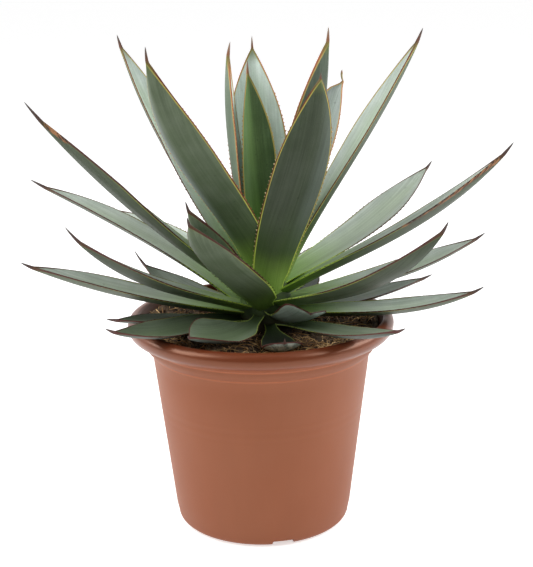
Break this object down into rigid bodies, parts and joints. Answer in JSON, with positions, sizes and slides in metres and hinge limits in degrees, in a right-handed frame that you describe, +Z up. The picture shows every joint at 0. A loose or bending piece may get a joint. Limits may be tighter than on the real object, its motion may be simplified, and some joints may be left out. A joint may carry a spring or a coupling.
{
  "type": "potted agave",
  "caption": "Potted agave: a rosette of slim, finely toothed, spine-tipped leaves on a short stem in soil, in a tapered plastic pot with a flared rim.",
  "frame": {"origin": "middle of the pot's foot, on the surface that it stands on", "axes": "+Z up; -Y is the front, the side that the picture shows; +X is to the right of that view"},
  "size_m": [0.3321, 0.2506, 0.355],
  "materials": {
    "pot": "matte terracotta-coloured plastic",
    "soil": "moist peat with coir fibres",
    "stem": "green stem between the leaf bases",
    "leaf_young": "waxy, grey bloom over green",
    "leaf_grown": "waxy, blue-grey bloom",
    "leaf_old": "waxy, darker and duller"
  },
  "bodies": {
    "root": {"leaf_back_1": "leaf_grown", "leaf_back_2": "leaf_grown", "leaf_back_3": "leaf_grown", "leaf_back_4": "leaf_grown", "leaf_back_5": "leaf_grown", "leaf_back_6": "leaf_grown", "leaf_heart_1": "leaf_young", "leaf_heart_2": "leaf_young", "leaf_heart_3": "leaf_young", "leaf_heart_4": "leaf_young", "leaf_heart_5": "leaf_young", "leaf_heart_6": "leaf_young", "leaf_inner_1": "leaf_grown", "leaf_inner_2": "leaf_grown", "leaf_inner_3": "leaf_grown", "leaf_inner_4": "leaf_grown", "leaf_inner_5": "leaf_grown", "leaf_low_1": "leaf_old", "leaf_low_2": "leaf_old", "leaf_low_3": "leaf_old", "leaf_low_4": "leaf_old", "leaf_low_5": "leaf_old", "leaf_low_6": "leaf_old", "leaf_middle_1": "leaf_grown", "leaf_middle_2": "leaf_grown", "leaf_middle_3": "leaf_grown", "leaf_middle_4": "leaf_grown", "leaf_middle_5": "leaf_grown", "leaf_outer_1": "leaf_grown", "leaf_outer_2": "leaf_grown", "leaf_outer_3": "leaf_grown", "leaf_outer_4": "leaf_grown", "leaf_outer_5": "leaf_grown", "leaf_outer_6": "leaf_grown", "leaf_outer_7": "leaf_grown", "pot": "pot", "soil": "soil", "stem": "stem"}
  },
  "joints": []
}
